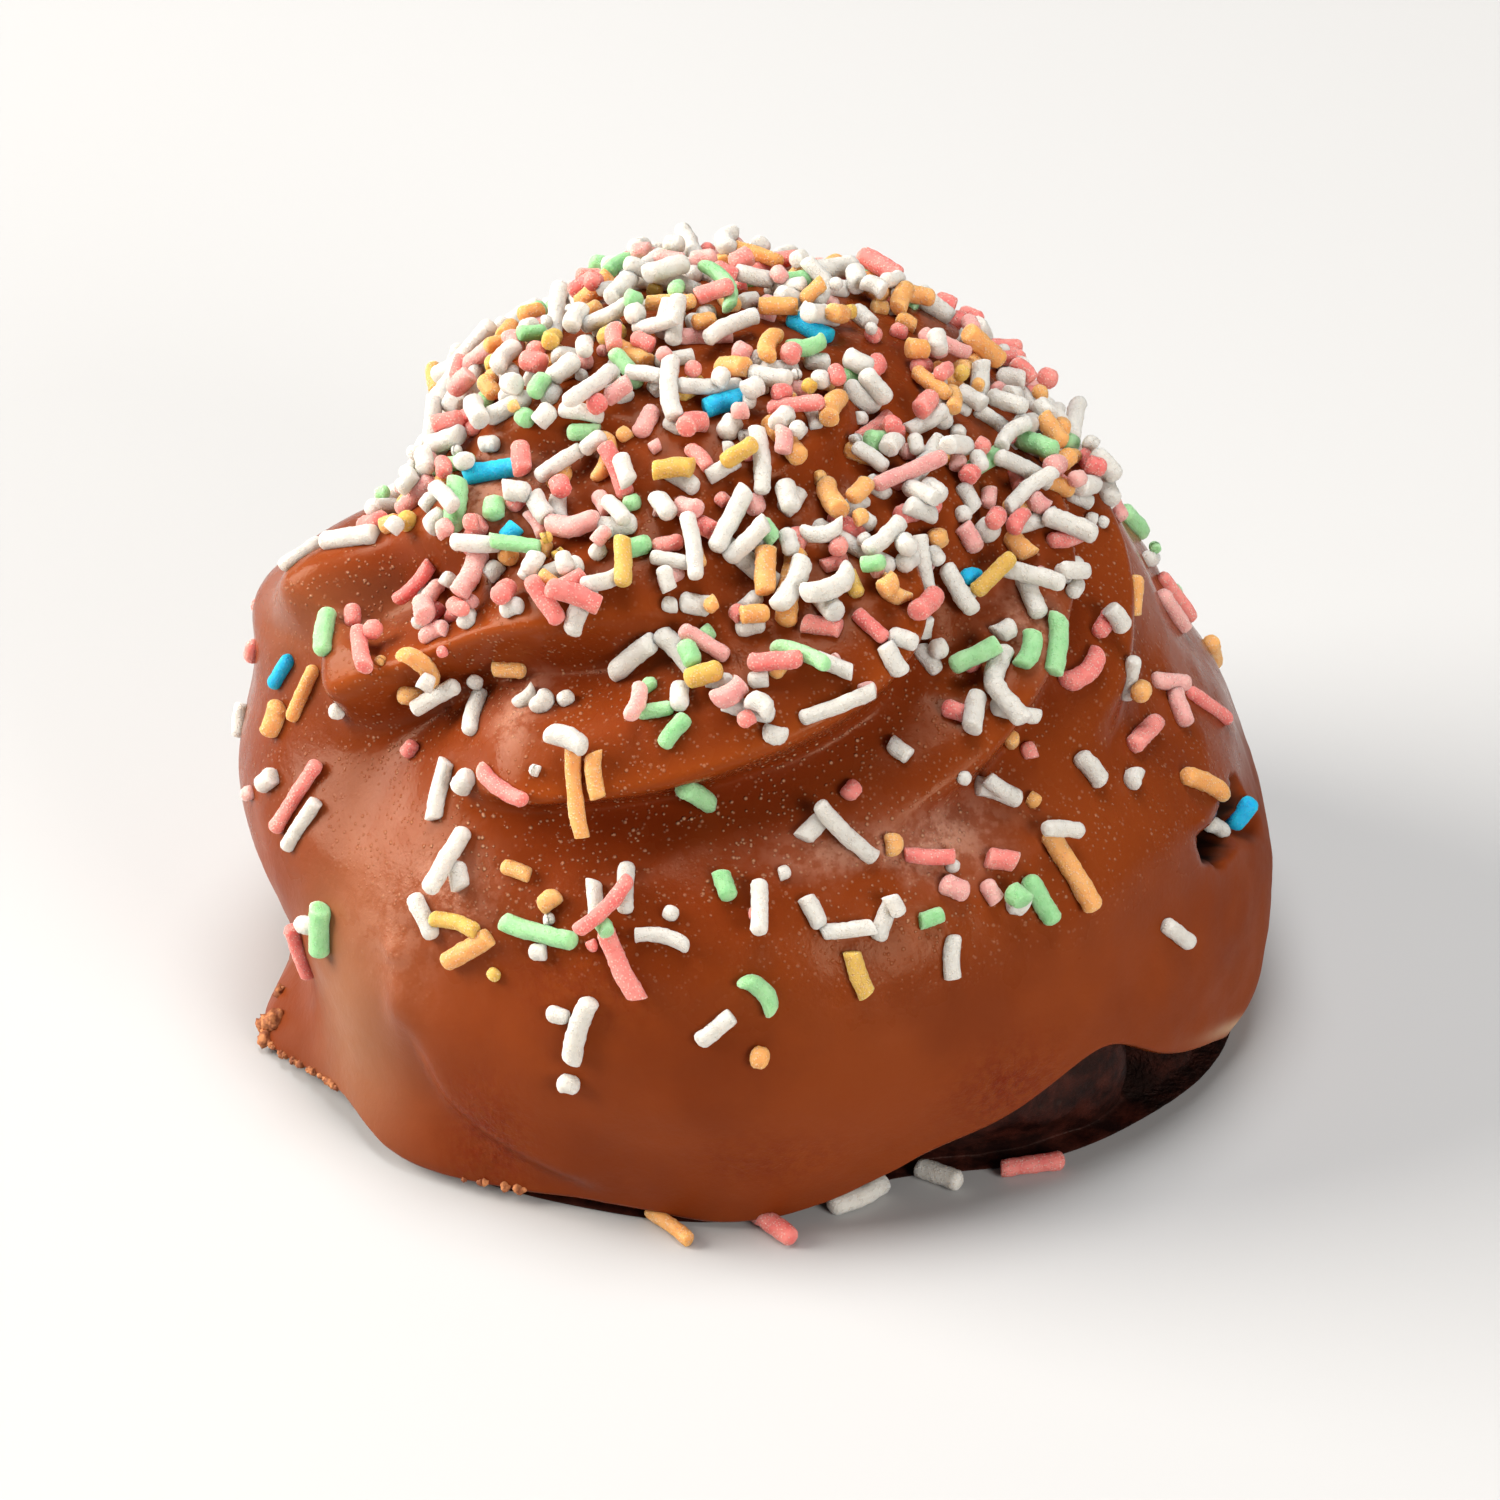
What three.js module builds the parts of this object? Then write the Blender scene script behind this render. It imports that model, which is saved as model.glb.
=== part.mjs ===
// A petit four about 46 mm across: a round of dark chocolate cake that carries a piped swirl
// under milk chocolate. The chocolate stops short of the plate and leaves the cake bare at
// one side of the foot. Millimetres, +Z up, standing on Z = 0, with its front towards -Y.
// Angles are in degrees, counter-clockwise seen from above: 0 is the right, 270 the front.
import * as THREE from "three";
import { ParametricGeometry } from "three/addons/geometries/ParametricGeometry.js";

// The cake.
const CAKE_RADIUS = 20.9;
const CAKE_HEIGHT = 7.6;
const CAKE_CENTRE_Y = 0.3;
const CAKE_SEGMENTS = 96;

// The fit of the chocolate on the cake.
const GAP = 0.3;
const RIM_DROP = 0.3; // how far the rounded rim hangs under the edge of the chocolate

// The fineness of the swirl. Its rings crowd together half way up, where the folds are.
const SWIRL_SEGMENTS = 88;
const SWIRL_RINGS = 41;
const RING_CROWDING = 0.08;
const CREST_SAMPLES = 80;

// The cake's section from its middle underneath to its middle on top: height, share of the radius.
const CAKE_SECTION = [
  [0, 0],
  [0, 0.95],
  [0.35, 0.98],
  [1.2, 0.995],
  [2.8, 1],
  [4.6, 1],
  [6.6, 0.99],
  [CAKE_HEIGHT, 0.96],
  [CAKE_HEIGHT, 0],
];

// Where the cake's outline swells or shrinks.
const CAKE_LOBES = [
  { angle: 338, halfAngle: 22, out: 0.9 },
  { angle: 290, halfAngle: 20, out: -0.2 },
  { angle: 262, halfAngle: 14, out: 0.3 },
  { angle: 218, halfAngle: 8, out: -0.4 },
  { angle: 185, halfAngle: 20, out: -2.6 },
];
const CAKE_TUCK = { angle: 290, halfAngle: 17, in: 2.2, height: 4.5 }; // drawn in under the bare side
const CAKE_CRACK = { angle: 322, halfAngle: 2.4, in: 1.3 };

// Rings of the smooth swirl, from the foot to the crown: height, radius, middle X, middle Y.
const RINGS = [
  [0.4, 21.8, -0.2, 0.3],
  [3.2, 22.4, 0.2, 0.3],
  [7.5, 22.6, 0.3, 0.2],
  [12.3, 21.5, 0.0, 0.4],
  [16.5, 19.2, -0.3, 0.8],
  [20.8, 17.4, -0.5, 1.0],
  [25.0, 14.4, -0.8, 1.2],
  [28.8, 10.5, -1.3, 1.2],
  [31.0, 6.2, -1.9, 1.2],
  [32.2, 0.0, -2.2, 1.2],
];

// Bulges and hollows of the swirl, at an angle and a height.
const LOBES = [
  { angle: 184, height: 12.5, halfAngle: 32, halfHeight: 6.0, out: 1.0 }, // left cheek
  { angle: 180, height: 17.6, halfAngle: 19, halfHeight: 3.0, out: 2.4 }, // shoulder behind it
  { angle: 156, height: 19.5, halfAngle: 14, halfHeight: 3.2, out: -1.6 }, // where the shoulder ends
  { angle: 196, height: 21.0, halfAngle: 9, halfHeight: 2.4, out: 1.4 }, // nose on the shoulder
  { angle: 207, height: 19.0, halfAngle: 5.5, halfHeight: 1.7, out: 0.6 }, // start of the second fold
  { angle: 172, height: 24.2, halfAngle: 22, halfHeight: 2.5, out: -2.2 }, // step above the shoulder
  { angle: 142, height: 28.5, halfAngle: 22, halfHeight: 2.2, out: -0.9 }, // step near the crown
  { angle: 187, height: 4.8, halfAngle: 18, halfHeight: 3.2, out: -3.0 }, // waist
  { angle: 180, height: 0.8, halfAngle: 12, halfHeight: 2.4, out: -0.9 }, // foot drawn in
  { angle: 199, height: 0.4, halfAngle: 10, halfHeight: 1.8, out: 1.1 }, // foot run out
  { angle: 230, height: 0.8, halfAngle: 12, halfHeight: 1.8, out: 0.9 }, // foot at the front left
  { angle: 262, height: 9.0, halfAngle: 34, halfHeight: 5.0, out: 0.5 }, // front belly
  { angle: 268, height: 14.6, halfAngle: 44, halfHeight: 2.8, out: 0.8 }, // front ledge
  { angle: 292, height: 1.0, halfAngle: 14, halfHeight: 5.0, out: -1.0 }, // over the bare side
  { angle: 228, height: 8.4, halfAngle: 3.5, halfHeight: 2.4, out: 0.5 }, // drip
  { angle: 217, height: 15.6, halfAngle: 12, halfHeight: 4.0, out: -0.8 }, // valley at the left
  { angle: 308, height: 22.6, halfAngle: 7, halfHeight: 1.8, out: -0.6 }, // hollow inside the right lip
  { angle: 348, height: 5.0, halfAngle: 26, halfHeight: 4.5, out: 0.4 }, // right belly
  { angle: 340, height: 2.2, halfAngle: 15, halfHeight: 2.4, out: 0.7 }, // right foot
  { angle: 322, height: 13.5, halfAngle: 16, halfHeight: 2.4, out: 0.5 }, // right ledge
  { angle: 22, height: 18.6, halfAngle: 15, halfHeight: 2.6, out: -0.9 }, // valley behind it
  { angle: 38, height: 28.0, halfAngle: 16, halfHeight: 2.2, out: 0.6 }, // crown behind
  { angle: 236, height: 28.6, halfAngle: 14, halfHeight: 1.5, out: -0.6 }, // dip in the crown
];

// The swirl's folds. Each climbs along a path through a start, a middle or two and an end, all an
// angle and a height, with a crest that stands out by `out`, a back that runs down smoothly over
// `back` above it, and a face of width `face` that drops into a groove of depth `groove` below it,
// which closes again over `recover`.
const FOLDS = [
  {
    path: [[193, 20.5], [206, 25], [236, 29]],
    out: 1.3, back: 2.6, face: 3.2, groove: 1.1, recover: 2.6, fadeIn: 1.6, fadeOut: 8,
  },
  {
    path: [[204, 18.4], [230, 23.5], [272, 26]],
    out: 1.6, back: 2.5, face: 2.8, groove: 1.1, recover: 2.2, fadeIn: 1.3, fadeOut: 9,
  },
  {
    path: [[228, 18], [266, 21], [294, 24], [306, 28]],
    out: 1.6, back: 2.8, face: 2.1, groove: 1.1, recover: 2.3, fadeIn: 5, fadeOut: 6,
  },
  {
    path: [[283, 17], [320, 22], [352, 27]],
    out: 0.8, back: 2.2, face: 2.5, groove: 0.5, recover: 2.4, fadeIn: 8, fadeOut: 5,
  },
  {
    path: [[318, 17.5], [345, 21.5], [371, 27]],
    out: 0.7, back: 2.4, face: 2.2, groove: 0.6, recover: 2.6, fadeIn: 6, fadeOut: 5,
  },
  {
    path: [[196, 28], [220, 30], [246, 31]],
    out: 0.6, back: 1.8, face: 2.0, groove: 0.4, recover: 1.8, fadeIn: 4, fadeOut: 4,
  },
  {
    path: [[262, 29], [300, 30], [338, 31]],
    out: 0.5, back: 1.8, face: 2.0, groove: 0.4, recover: 1.8, fadeIn: 4, fadeOut: 4,
  },
];

// A tear in the chocolate at the right is a fold that is nearly all groove.
const TEAR = {
  path: [[331, 13], [342, 11.5], [354, 9.5]],
  out: 0.2, back: 0.9, face: 0.9, groove: 1.4, recover: 0.9, fadeIn: 1.6, fadeOut: 1.6,
};

// The folds round the back repeat one climb, every other one larger and higher.
const BACK_FOLDS = { count: 4, start: 14, step: 34 };
const BACK_CLIMB = [[0, 15.5], [19, 20.5], [38, 24]];

// The lower edge of the chocolate: its usual height, and where it lifts off the cake.
const EDGE_HEIGHT = 0.7;
const EDGE_LIFTS = [
  { angle: 310, halfAngle: 13, up: 5.9 },
  { angle: 291, halfAngle: 8, up: 1.6 },
  { angle: 332, halfAngle: 10, up: 1.2 },
  { angle: 221, halfAngle: 8, up: 0.9 },
];

const radians = THREE.MathUtils.degToRad;
const bell = (x) => Math.exp(-x * x);
const smooth = (x) => THREE.MathUtils.smoothstep(x, 0, 1);
const turn = (angle) => THREE.MathUtils.euclideanModulo(angle + 180, 360) - 180;

function backFold(k) {
  const large = k % 2 === 1;
  const start = BACK_FOLDS.start + k * BACK_FOLDS.step;
  const rise = large ? 0.8 : -0.4;
  return {
    path: BACK_CLIMB.map(([angle, height]) => [start + angle, height + rise]),
    out: large ? 1.4 : 1.1,
    back: 2.8, face: 2.6, groove: 0.8, recover: 2.6, fadeIn: 4, fadeOut: 8,
  };
}

// A uniform Catmull-Rom curve through rows of two or three numbers.
function curveThrough(rows) {
  const points = rows.map(([a, b, c = 0]) => new THREE.Vector3(a, b, c));
  return new THREE.CatmullRomCurve3(points, false, "catmullrom", 0.5);
}

// Sum of the bells of `lobes` at an angle, each scaled by its value `key`.
function bulge(lobes, angle, key) {
  return lobes.reduce((sum, lobe) => sum + lobe[key] * bell(turn(angle - lobe.angle) / lobe.halfAngle), 0);
}

// The smooth swirl. One more row past the crown mirrors the last but one, so the crown is level.
const overCrown = RINGS[RINGS.length - 2].map((value, k) => (k === 1 ? -value : value));
const rows = [...RINGS, overCrown];
const section = curveThrough(rows.map(([height, radius]) => [height, radius]));
const middle = curveThrough(rows.map(([, , x, y]) => [x, y]));

// A share of the section, from 0 at the foot to 1 at the crown, as the curves' own parameter.
const along = (share) => (share * (RINGS.length - 1)) / (rows.length - 1);

function smoothPoint(angle, share) {
  const { x: height, y: radius } = section.getPoint(along(share));
  const { x, y } = middle.getPoint(along(share));
  return new THREE.Vector3(
    x + radius * Math.cos(radians(angle)),
    y + radius * Math.sin(radians(angle)),
    height,
  );
}

function smoothNormal(angle, share) {
  const at = THREE.MathUtils.clamp(share, 0.001, 0.9985);
  const around = smoothPoint(angle + 0.1, at).sub(smoothPoint(angle - 0.1, at));
  const up = smoothPoint(angle, at + 0.001).sub(smoothPoint(angle, at - 0.001));
  return around.cross(up).normalize();
}

// The share of the section at a height, found by halving.
function shareAt(height) {
  let low = 0;
  let high = 1;
  for (let k = 0; k < 30; k++) {
    const share = (low + high) / 2;
    if (section.getPoint(along(share)).x < height) low = share;
    else high = share;
  }
  return (low + high) / 2;
}

// A fold's crest laid on the smooth swirl: points, the way up across it, and the run along it.
function crestOf(fold) {
  const path = curveThrough(fold.path);
  const points = [];
  const normals = [];
  for (let k = 0; k < CREST_SAMPLES; k++) {
    const { x: angle, y: height } = path.getPoint(k / (CREST_SAMPLES - 1));
    const share = shareAt(height);
    points.push(smoothPoint(angle, share));
    normals.push(smoothNormal(angle, share));
  }
  const run = [0];
  for (let k = 1; k < CREST_SAMPLES; k++) run.push(run[k - 1] + points[k].distanceTo(points[k - 1]));
  const upward = points.map((_, k) => {
    const before = points[Math.max(k - 1, 0)];
    const after = points[Math.min(k + 1, CREST_SAMPLES - 1)];
    return normals[k].clone().cross(after.clone().sub(before).normalize());
  });
  return { fold, points, upward, run };
}

// The nearest place on a crest to a point: its distance, run and whether it lies above.
function nearestOn({ points, upward, run }, point) {
  let k = 0;
  for (let j = 1; j < points.length; j++)
    if (points[j].distanceToSquared(point) < points[k].distanceToSquared(point)) k = j;
  const best = { distance: points[k].distanceTo(point), run: run[k], place: points[k] };
  for (const j of [k - 1, k + 1]) {
    if (!points[j]) continue;
    const piece = new THREE.Line3(points[k], points[j]);
    const share = piece.closestPointToPointParameter(point, true);
    const place = piece.at(share, new THREE.Vector3());
    const distance = place.distanceTo(point);
    if (distance >= best.distance) continue;
    Object.assign(best, { distance, place, run: THREE.MathUtils.lerp(run[k], run[j], share) });
  }
  const away = point.clone().sub(best.place).normalize();
  return { ...best, upward: upward[k], above: smooth(0.5 + 0.5 * away.dot(upward[k])) };
}

// How far a fold lifts a point of the smooth swirl.
function foldLift({ fold, points, upward, run }, point) {
  const near = nearestOn({ points, upward, run }, point);
  const d = near.distance;
  const back = fold.out * bell(d / fold.back);
  const face = d < fold.face
    ? fold.out - (fold.out + fold.groove) * smooth(d / fold.face)
    : -fold.groove * bell((d - fold.face) / fold.recover);
  const start = fold.fadeIn ? smooth(near.run / fold.fadeIn) : 1;
  const end = smooth((run[run.length - 1] - near.run) / fold.fadeOut);
  return THREE.MathUtils.lerp(face, back, near.above) * start * end;
}

const backFolds = Array.from({ length: BACK_FOLDS.count }, (_, k) => backFold(k));
const crests = [...FOLDS, TEAR, ...backFolds].map(crestOf);

function swirlPoint(angle, share) {
  const point = smoothPoint(angle, share);
  const lobes = LOBES.map((lobe) => {
    const across = bell(turn(angle - lobe.angle) / lobe.halfAngle);
    return lobe.out * across * bell((point.z - lobe.height) / lobe.halfHeight);
  });
  const folds = crests.map((crest) => foldLift(crest, point));
  const lift = [...lobes, ...folds].reduce((sum, value) => sum + value, 0);
  return point.addScaledVector(smoothNormal(angle, share), lift);
}

// The cake's radius at an angle and a height, before the section's share.
function cakeRadius(angle, height) {
  const tuck = bulge([CAKE_TUCK], angle, "in") * (1 - smooth(height / CAKE_TUCK.height));
  const uneven = 0.15 * Math.sin(radians(5 * angle) + 1) + 0.1 * Math.sin(radians(11 * angle));
  return CAKE_RADIUS + bulge(CAKE_LOBES, angle, "out") - tuck + uneven;
}

function cakeAt(angle, radius, height) {
  return new THREE.Vector3(
    radius * Math.cos(radians(angle)),
    CAKE_CENTRE_Y + radius * Math.sin(radians(angle)),
    height,
  );
}

function cakePoint(angle, ring) {
  const low = Math.min(Math.floor(ring), CAKE_SECTION.length - 2);
  const [lowZ, lowShare] = CAKE_SECTION[low];
  const [highZ, highShare] = CAKE_SECTION[low + 1];
  const height = THREE.MathUtils.lerp(lowZ, highZ, ring - low);
  const share = THREE.MathUtils.lerp(lowShare, highShare, ring - low);
  return cakeAt(angle, share * (cakeRadius(angle, height) - bulge([CAKE_CRACK], angle, "in")), height);
}

// The socket in the chocolate that takes the cake: the cake's uncracked outline and the gap.
function socketPoint(angle, height) {
  const heights = CAKE_SECTION.slice(1, -1);
  const upper = Math.max(1, heights.findIndex(([z]) => z >= height));
  const [lowZ, lowShare] = heights[upper - 1];
  const [highZ, highShare] = heights[upper];
  const share = THREE.MathUtils.lerp(lowShare, highShare, (height - lowZ) / (highZ - lowZ));
  return cakeAt(angle, share * cakeRadius(angle, height) + GAP, height);
}

function edgeHeight(angle) {
  const uneven = 0.15 * Math.sin(radians(9 * angle)) + 0.1 * Math.sin(radians(17 * angle) + 1);
  return EDGE_HEIGHT + bulge(EDGE_LIFTS, angle, "up") + uneven;
}

// Corners of the swirl's section under the outside: the socket's roof and wall, then the rim.
function insideCorners(angle) {
  const edge = edgeHeight(angle);
  const roof = CAKE_HEIGHT + GAP;
  const corner = socketPoint(angle, CAKE_HEIGHT);
  const wall = (share) => socketPoint(angle, THREE.MathUtils.lerp(CAKE_HEIGHT, edge, share));
  const rim = wall(1).lerp(swirlPoint(angle, shareAt(edge)), 0.5);
  return [
    new THREE.Vector3(0, CAKE_CENTRE_Y, roof),
    new THREE.Vector3(corner.x, corner.y, roof),
    wall(1 / 3),
    wall(2 / 3),
    wall(1),
    new THREE.Vector3(rim.x, rim.y, edge - RIM_DROP),
  ];
}
const INSIDE_RINGS = insideCorners(0).length;

// The swirl's skin from the middle of the socket's roof, round the rim and up to the crown.
function skinPoint(angle, ring) {
  const outside = (ring - INSIDE_RINGS) / (SWIRL_RINGS - 1);
  if (outside >= 1) return swirlPoint(0, 1);
  const edgeShare = shareAt(edgeHeight(angle));
  if (outside >= 0) {
    const spread = outside + RING_CROWDING * Math.sin(2 * Math.PI * outside);
    return swirlPoint(angle, THREE.MathUtils.lerp(edgeShare, 1, spread));
  }
  const corners = [...insideCorners(angle), swirlPoint(angle, edgeShare)];
  const low = Math.floor(ring);
  return corners[low].lerp(corners[low + 1], ring - low);
}

// A closed skin of rings, from its lowest point on the axis to its highest. Each cell's diagonal
// climbs with the angle, as the folds do.
function skin(rings, segments, place) {
  return new ParametricGeometry(
    (u, v, target) => target.copy(place((360 * (1 - v)) % 360, u * (rings - 1))),
    rings - 1,
    segments,
  );
}

function named(name, geometry, material) {
  const mesh = new THREE.Mesh(geometry, new THREE.MeshStandardMaterial(material));
  mesh.name = name;
  return mesh;
}

const cake = named("cake_base", skin(CAKE_SECTION.length, CAKE_SEGMENTS, cakePoint), {
  color: 0x28110d,
  roughness: 0.75,
  metalness: 0,
});

const swirl = named(
  "chocolate_swirl",
  skin(INSIDE_RINGS + SWIRL_RINGS, SWIRL_SEGMENTS, skinPoint),
  { color: 0x8c4628, roughness: 0.45, metalness: 0 },
);

const petitFour = new THREE.Group();
petitFour.add(cake, swirl);

export default petitFour;
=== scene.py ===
"""The looks of a petit four: a round of dark chocolate cake, a piped swirl under milk chocolate,
and coloured sugar strands. Sizes are in millimetres and angles in degrees until a mesh is made:
0 is the right, 270 the front, counter-clockwise seen from above."""
import math
import random

import bpy
import numpy as np
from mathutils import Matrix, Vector, noise
from mathutils.bvhtree import BVHTree


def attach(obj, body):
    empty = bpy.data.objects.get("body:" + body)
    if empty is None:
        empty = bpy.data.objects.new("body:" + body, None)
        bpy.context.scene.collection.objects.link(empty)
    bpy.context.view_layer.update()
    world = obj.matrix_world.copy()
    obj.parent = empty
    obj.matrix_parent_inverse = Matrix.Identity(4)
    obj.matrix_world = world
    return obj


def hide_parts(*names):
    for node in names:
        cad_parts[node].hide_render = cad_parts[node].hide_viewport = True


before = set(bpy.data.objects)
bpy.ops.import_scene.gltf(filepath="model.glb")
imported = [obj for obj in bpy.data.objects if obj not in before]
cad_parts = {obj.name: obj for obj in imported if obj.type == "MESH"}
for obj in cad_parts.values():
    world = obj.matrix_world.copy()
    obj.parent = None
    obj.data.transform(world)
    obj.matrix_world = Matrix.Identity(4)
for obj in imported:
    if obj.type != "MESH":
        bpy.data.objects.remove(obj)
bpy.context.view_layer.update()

MM = 0.001
SEED = 4

# ---------------------------------------------------------------- the shape, nearly as the solids have it

CAKE_RADIUS = 20.9
CAKE_HEIGHT = 7.6
CAKE_CENTRE_Y = 0.3
GAP = 0.3  # between the cake and the chocolate
RIM_DROP = 0.3  # how far the chocolate's rim bulges down

# Height and share of the radius, from the middle underneath to the middle on top.
CAKE_SECTION = [
    (0, 0), (0, 0.95), (0.35, 0.98), (1.2, 0.995), (2.8, 1), (4.6, 1), (6.6, 0.99),
    (CAKE_HEIGHT, 0.96), (CAKE_HEIGHT, 0),
]
# Waves round the cake: how many, how far out, and where they start.
CAKE_WAVES = [(5, 0.15, 1), (11, 0.1, 0)]
# Bulges and hollows round the cake: angle, half angle, and how far out.
CAKE_LOBES = [(338, 22, 0.9), (290, 20, -0.2), (262, 14, 0.3), (218, 8, -0.4), (185, 20, -2.6)]
# Where the cake is drawn in under its bare side, and its crack: angle, half angle, and how far in.
CAKE_TUCK = (290, 17, 2.2)
CAKE_TUCK_HEIGHT = 4.5
CAKE_CRACK = (325, 2.6, 2.2)
CAKE_CRACK_WHOLE = 1.5  # height from which the crack has its whole depth
# The broken, crumbly side: the angle where it starts and how soon it is whole.
CAKE_CRUMBLY = (322, 5)
# The cake's bumps: their size, and how high they are on the smooth side and on the crumbly one.
CAKE_BUMPS = [(2.4, 0.5, 0.5), (0.9, 0.1, 0.4), (0.45, 0.05, 0.4)]
CAKE_BUMP_MOST = 0.28
# They lie on the side only: from this share of the radius outwards, and fading over the lowest part.
CAKE_SIDE_FROM, CAKE_SIDE_FADE, CAKE_FOOT_FADE = 0.9, 0.08, 0.6

# Rings of the smooth swirl: height, radius, middle X, middle Y.
RINGS = np.array([
    (0.4, 21.8, -0.2, 0.3),
    (3.2, 22.4, 0.2, 0.3),
    (7.5, 22.6, 0.3, 0.2),
    (12.3, 21.5, 0.0, 0.4),
    (16.5, 19.2, -0.3, 0.8),
    (20.8, 17.4, -0.5, 1.0),
    (25.0, 14.4, -0.8, 1.2),
    (28.8, 10.5, -1.3, 1.2),
    (31.0, 6.2, -1.9, 1.2),
    (32.2, 0.0, -2.2, 1.2),
])
OVER_CROWN = RINGS[-2] * (1, -1, 1, 1)

# Bulges and hollows: angle, height, half angle, half height, and how far out.
LOBES = [
    (184, 12.5, 32, 6.0, 1.0),  # left cheek
    (180, 17.6, 19, 3.0, 2.4),  # shoulder behind it
    (156, 19.5, 14, 3.2, -1.6),  # where the shoulder ends
    (196, 21.0, 9, 2.4, 1.4),  # nose on the shoulder
    (208, 19.0, 5.0, 1.6, 0.5),  # knob where the second lip starts
    (172, 24.2, 22, 2.5, -2.2),  # step above the shoulder
    (142, 28.5, 22, 2.2, -0.9),  # step near the crown
    (187, 4.8, 18, 3.2, -3.0),  # waist
    (180, 0.8, 12, 2.4, -0.9),  # foot drawn in
    (199, 0.4, 9, 1.8, 1.2),  # foot run out
    (230, 0.8, 12, 1.8, 0.9),  # foot at the front left
    (262, 9.0, 34, 5.0, 0.5),  # front belly
    (268, 14.6, 44, 2.8, 0.8),  # front ledge
    (292, 1.0, 14, 5.0, -1.0),  # over the bare side
    (228.5, 8.4, 2.4, 1.9, 0.6),  # drip
    (227, 10.6, 1.6, 0.5, 0.35),  # where it starts
    (217, 15.6, 12, 4.0, -0.8),  # valley at the left
    (308, 22.6, 6, 1.6, -0.7),  # hollow inside the right lip
    (348, 5.0, 26, 4.5, 0.4),  # right belly
    (340, 2.2, 15, 2.4, 0.7),  # right foot
    (322, 13.5, 16, 2.4, 0.5),  # right ledge
    (22, 18.6, 15, 2.6, -0.9),  # valley behind it
    (38, 28.0, 16, 2.2, 0.6),  # crown behind
    (236, 28.6, 14, 1.5, -0.6),  # dip in the crown
]

# Folds: a start, a middle or two and an end, each an angle and a height; then how far the crest
# stands out, the width of its back above and its face below, the groove's depth and how wide it
# closes again, how far the crest hangs over as a share, and the lengths over which it starts and
# ends. A fold's groove is whole by GROOVE_DELAY later along it than its crest.
GROOVE_DELAY = 2.4
FOLDS = [
    ([(197, 18.8), (195, 21.2), (201, 24), (214, 25.8), (236, 28.8)],
     dict(out=1.4, back=2.5, face=3.3, groove=1.4, recover=2.2, lean=0.2, fade_in=2.4, fade_out=8)),
    ([(204, 17.8), (228, 23.6), (272, 26.2)],
     dict(out=1.7, back=2.8, face=2.3, groove=1.5, recover=1.9, lean=0.35, fade_in=2.6, fade_out=9)),
    ([(228, 18), (266, 21), (294, 24), (306, 28)],
     dict(out=1.6, back=2.8, face=1.9, groove=1.1, recover=2.3, lean=0.6, fade_in=5, fade_out=6)),
    ([(283, 17), (320, 22), (352, 27)],
     dict(out=1.0, back=1.4, face=1.6, groove=0.7, recover=2.2, lean=0.3, fade_in=8, fade_out=5)),
    ([(318, 17.5), (345, 21.5), (371, 27)],
     dict(out=0.7, back=2.4, face=1.8, groove=0.6, recover=2.6, lean=0.3, fade_in=6, fade_out=5)),
    ([(196, 28), (220, 30), (246, 31)],
     dict(out=0.6, back=1.8, face=1.6, groove=0.5, recover=1.8, lean=0.3, fade_in=4, fade_out=4)),
    ([(262, 29), (300, 30), (338, 31)],
     dict(out=0.5, back=1.8, face=1.5, groove=0.5, recover=1.8, lean=0.3, fade_in=4, fade_out=4)),
    ([(230, 10.5), (236, 5), (256, 2)],
     dict(out=0.3, back=2.0, face=1.4, groove=0.35, recover=1.5, lean=0.1, fade_in=3, fade_out=3)),
]
# The furrow of the tear, given as the folds are.
TEAR = ([(331, 13), (342, 11.5), (354, 9.5)],
        dict(out=0.25, back=0.7, face=0.6, groove=1.0, recover=0.6, lean=0, fade_in=1.6, fade_out=1.6))
# The hole in the tear: angle, height, half angle, half height and depth; then how ragged its edge is,
# as the size, amount and seed of a relief.
HOLE = (340.5, 11.3, 6.5, 0.9, 2.2)
HOLE_RAGGED = (0.8, 0.6, 3)
# The like folds round the back: the angle of the first, the step between them and how many, and
# the path of one, as angles from its start and heights.
BACK_START, BACK_STEP, BACK_COUNT = 14, 34, 4
BACK_CLIMB = [(0, 15.5), (19, 20.5), (38, 24)]
# They are small and large by turns: how far the crest stands out, and how much it is raised.
BACK_SMALL, BACK_LARGE = (1.1, -0.4), (1.4, 0.8)
# How far the lighter tone of a crest, a painted glow of the light shining through the thin lip,
# reaches below and above it, and how strong it is on a fold that stands out by 1 and hangs over wholly.
CREST_GLOW_REACH, CREST_GLOW_STRENGTH = (1.1, 0.5), 1.8
# Unevenness all over the chocolate: size, amount and seed.
SWIRL_BUMPS = [(6.0, 0.22, 1), (2.2, 0.07, 2), (0.9, 0.025, 4)]

# The chocolate's lower edge, and where it is lifted: angle, half angle, and how far up.
EDGE_HEIGHT = 0.7
EDGE_LIFTS = [(310, 13, 5.9), (291, 8, 1.6), (330, 9, 1.6), (221, 8, 0.9)]
EDGE_WAVES = [(9, 0.15, 0), (17, 0.1, 1)]

# ---------------------------------------------------------------- the chocolate's skin

# Matt places with a fine frost, whose paleness is partly a painted sheen of the lights, and a smooth
# island in the first, as zones() takes them: angle, height, half angle, half height and share.
BLOOM_AND_SHEEN = [
    (294, 16.6, 9, 1.1, 0.9), (281, 16.9, 7, 0.6, 0.5), (286, 15.9, 3, 0.6, -0.6), (234, 14, 6, 1.4, 0.45),
    (218, 27.6, 10, 1.0, 0.7), (320, 22.6, 5, 1.4, 0.6), (237, 21, 4, 0.8, 0.6), (226, 11.5, 6, 2.2, 0.3),
    (60, 16, 14, 2, 0.8), (130, 18, 12, 2, 0.8),
]
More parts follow.
